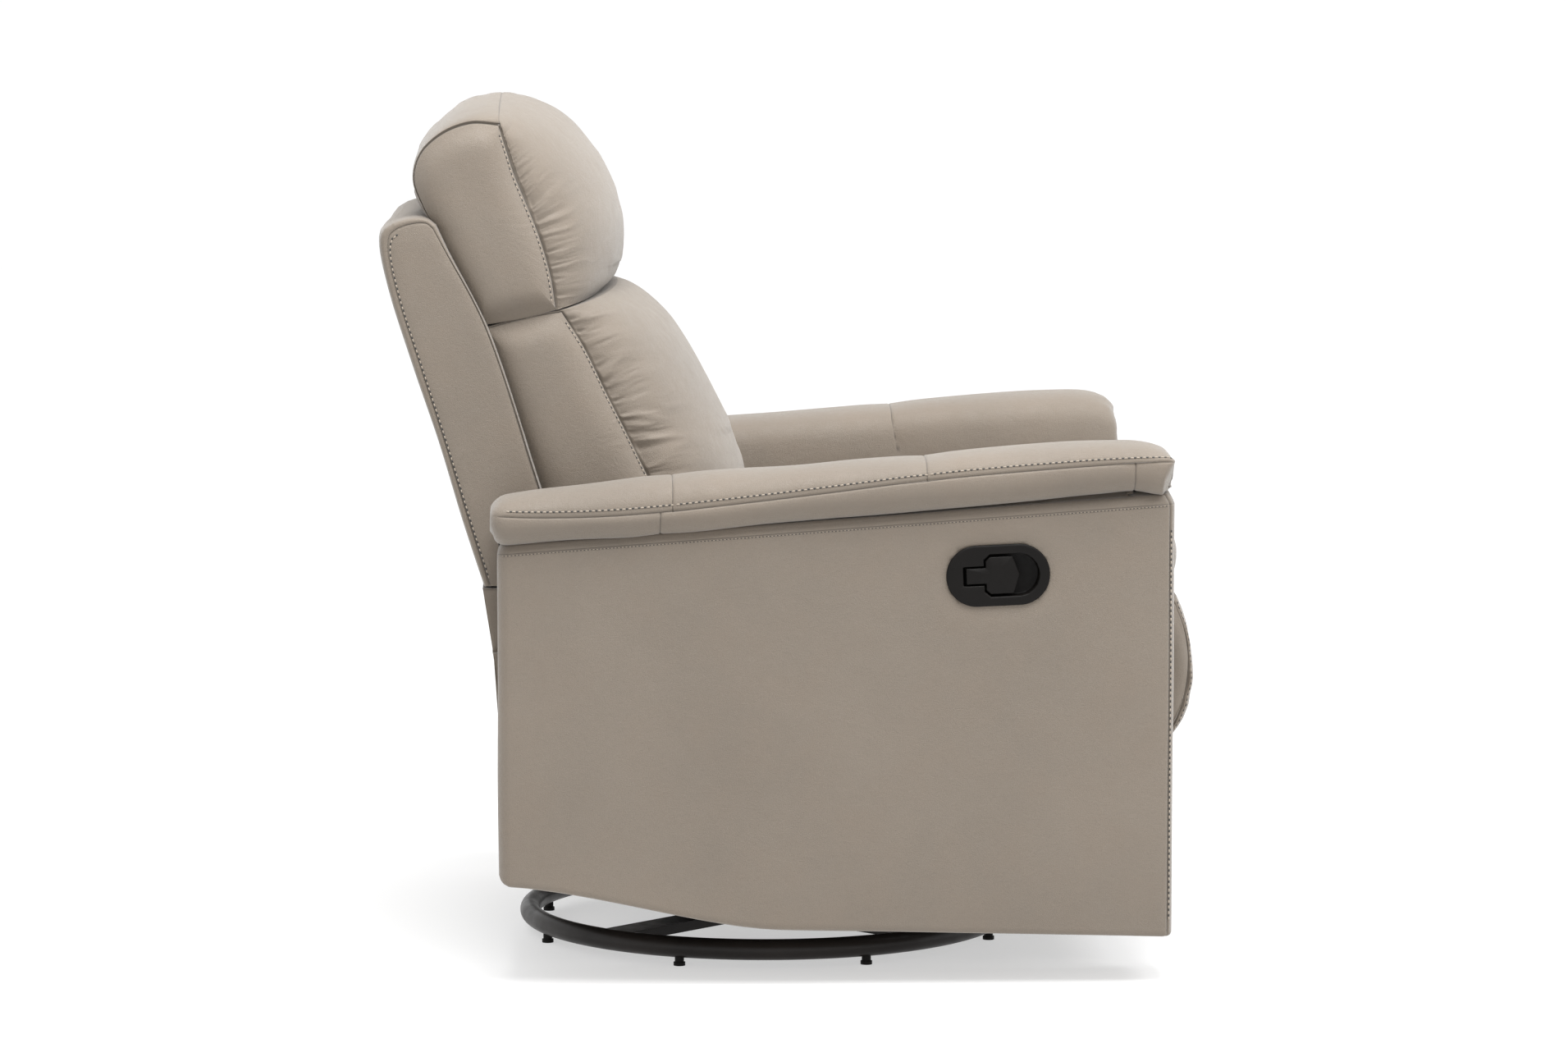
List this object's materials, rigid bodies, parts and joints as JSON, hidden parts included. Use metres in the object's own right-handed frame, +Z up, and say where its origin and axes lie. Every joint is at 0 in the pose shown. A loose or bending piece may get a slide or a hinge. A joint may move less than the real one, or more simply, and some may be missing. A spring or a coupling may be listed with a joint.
{
  "type": "swivel glider recliner chair",
  "caption": "Leather swivel glider recliner with padded arms, a full head cushion, a pop-out footrest, a side release lever and a round steel ring base.",
  "frame": {"origin": "bottom centre of the chair's box at rest, on the floor", "axes": "+Z up, the chair faces -Y, +X is the sitter's left"},
  "size_m": [0.84, 0.962, 1.025],
  "materials": {
    "leather_cushion": "satin",
    "leather_panel": "satin",
    "black_steel": "satin",
    "bright_steel": "satin",
    "black_plastic": "matte",
    "frame_wood": "matte"
  },
  "bodies": {
    "base": {"base_ring": "black_steel", "ring_glides": "black_plastic", "cross_arms": "black_steel", "hub_plate": "black_steel", "bearing_lower_race": "bright_steel", "bearing_balls": "bright_steel"},
    "turntable": {"bearing_upper_race": "bright_steel", "turntable_plate": "black_steel", "swivel_pin": "bright_steel", "cross_channels": "black_steel", "link_posts": "black_steel", "post_pins": "bright_steel"},
    "front_links": {"front_swing_links": "bright_steel"},
    "rear_links": {"rear_swing_links": "bright_steel"},
    "chassis": {"hanger_plates": "black_steel", "hanger_pins": "bright_steel", "cross_rails": "black_steel", "side_plate_left": "black_steel", "side_plate_right": "black_steel", "seat_guides": "bright_steel", "arm_frame_left": "frame_wood", "arm_frame_right": "frame_wood", "arm_outer_left": "leather_panel", "arm_outer_right": "leather_panel", "arm_inner_left": "leather_panel", "arm_inner_right": "leather_panel", "arm_front_left": "leather_panel", "arm_front_right": "leather_panel", "arm_pad_left": "leather_cushion", "arm_pad_right": "leather_cushion", "rear_skirt": "leather_panel", "handle_cup": "black_plastic", "release_cable": "black_plastic"},
    "lever": {"release_lever": "black_plastic"},
    "latch": {"latch_pawl": "bright_steel"},
    "seat": {"seat_rails": "black_steel", "seat_springs": "bright_steel", "seat_cushion": "leather_cushion", "back_hinge_pins": "bright_steel"},
    "back": {"back_hinge_plates": "black_steel", "back_posts": "frame_wood", "back_rails": "frame_wood", "back_springs": "bright_steel", "back_rear_panel": "leather_panel", "back_wing_left": "leather_panel", "back_wing_right": "leather_panel", "lumbar_cushion": "leather_cushion", "head_cushion": "leather_cushion"},
    "tong_rear": {"drive_tube": "bright_steel", "tong_rear_links": "black_steel", "tong_rear_rivets": "bright_steel"},
    "tong_cross": {"tong_cross_links": "black_steel", "tong_cross_rivets": "bright_steel"},
    "tong_front": {"tong_front_links": "black_steel"},
    "tong_reach": {"tong_reach_links": "black_steel", "tong_reach_rivets": "bright_steel"},
    "footrest_control": {"footrest_control_links": "black_steel"},
    "footrest": {"footrest_brackets": "black_steel", "footrest_board": "frame_wood", "footrest_pad": "leather_cushion"}
  },
  "joints": [
    {"name": "swivel", "type": "hinge", "parent": "base", "child": "turntable", "pos_m": [0, 0.022, 0.033], "axis": [0, 0, 1], "continuous": true},
    {"name": "glide", "type": "hinge", "parent": "turntable", "child": "front_links", "pos_m": [0, -0.088, 0.215], "axis": [1, 0, 0], "range_deg": [-25, 25]},
    {"name": "chassis_pivot", "type": "hinge", "parent": "front_links", "child": "chassis", "pos_m": [0, -0.088, 0.075], "axis": [1, 0, 0], "range_deg": [-25, 25]},
    {"name": "rear_swing", "type": "hinge", "parent": "turntable", "child": "rear_links", "pos_m": [0, 0.132, 0.215], "axis": [1, 0, 0], "range_deg": [-25, 25]},
    {"name": "release", "type": "hinge", "parent": "chassis", "child": "lever", "pos_m": [-0.401, -0.19504, 0.47734], "axis": [0, -0.0436, -0.999], "range_deg": [0, 30], "stiffness_Nm_per_rad": 0.5, "springref_deg": -11.46},
    {"name": "latch_turn", "type": "hinge", "parent": "chassis", "child": "latch", "pos_m": [-0.247, -0.228, 0.33], "axis": [-1, 0, 0], "range_deg": [0, 12]},
    {"name": "seat_slide", "type": "slide", "parent": "chassis", "child": "seat", "axis": [0, -1, 0], "range_m": [0, 0.0401]},
    {"name": "back_recline", "type": "hinge", "parent": "seat", "child": "back", "pos_m": [0, 0.172, 0.42], "axis": [-1, 0, 0], "range_deg": [0, 28]},
    {"name": "footrest_open", "type": "hinge", "parent": "chassis", "child": "tong_rear", "pos_m": [0, -0.2966, 0.29157], "axis": [-1, 0, 0], "range_deg": [0, 56]},
    {"name": "tong_cross_turn", "type": "hinge", "parent": "tong_rear", "child": "tong_cross", "pos_m": [0, -0.32916, 0.19701], "axis": [-1, 0, 0], "range_deg": [-112.01, 0]},
    {"name": "tong_front_turn", "type": "hinge", "parent": "tong_cross", "child": "tong_front", "pos_m": [0, -0.3448, 0.29578], "axis": [-1, 0, 0], "range_deg": [0, 112.01]},
    {"name": "tong_reach_turn", "type": "hinge", "parent": "tong_rear", "child": "tong_reach", "pos_m": [0, -0.36171, 0.10246], "axis": [-1, 0, 0], "range_deg": [-112.01, 0]},
    {"name": "footrest_tilt", "type": "hinge", "parent": "tong_reach", "child": "footrest", "pos_m": [0, -0.393, 0.3], "axis": [-1, 0, 0], "range_deg": [0, 141.01]},
    {"name": "control_turn", "type": "hinge", "parent": "tong_front", "child": "footrest_control", "pos_m": [0, -0.34143, 0.18886], "axis": [-1, 0, 0], "range_deg": [-103.61, 0]}
  ],
  "couplings": [
    {"joint": "chassis_pivot", "follows": "glide", "ratio": -1},
    {"joint": "rear_swing", "follows": "glide", "ratio": 1},
    {"joint": "latch_turn", "follows": "release", "ratio": 0.4},
    {"joint": "seat_slide", "follows": "back_recline", "m_per_rad": 0.081851},
    {"joint": "tong_cross_turn", "follows": "footrest_open", "ratio": -2},
    {"joint": "tong_front_turn", "follows": "footrest_open", "ratio": 2},
    {"joint": "tong_reach_turn", "follows": "footrest_open", "ratio": -2},
    {"joint": "footrest_tilt", "follows": "footrest_open", "ratio": 2.5179},
    {"joint": "control_turn", "follows": "footrest_open", "ratio": -1.85}
  ]
}
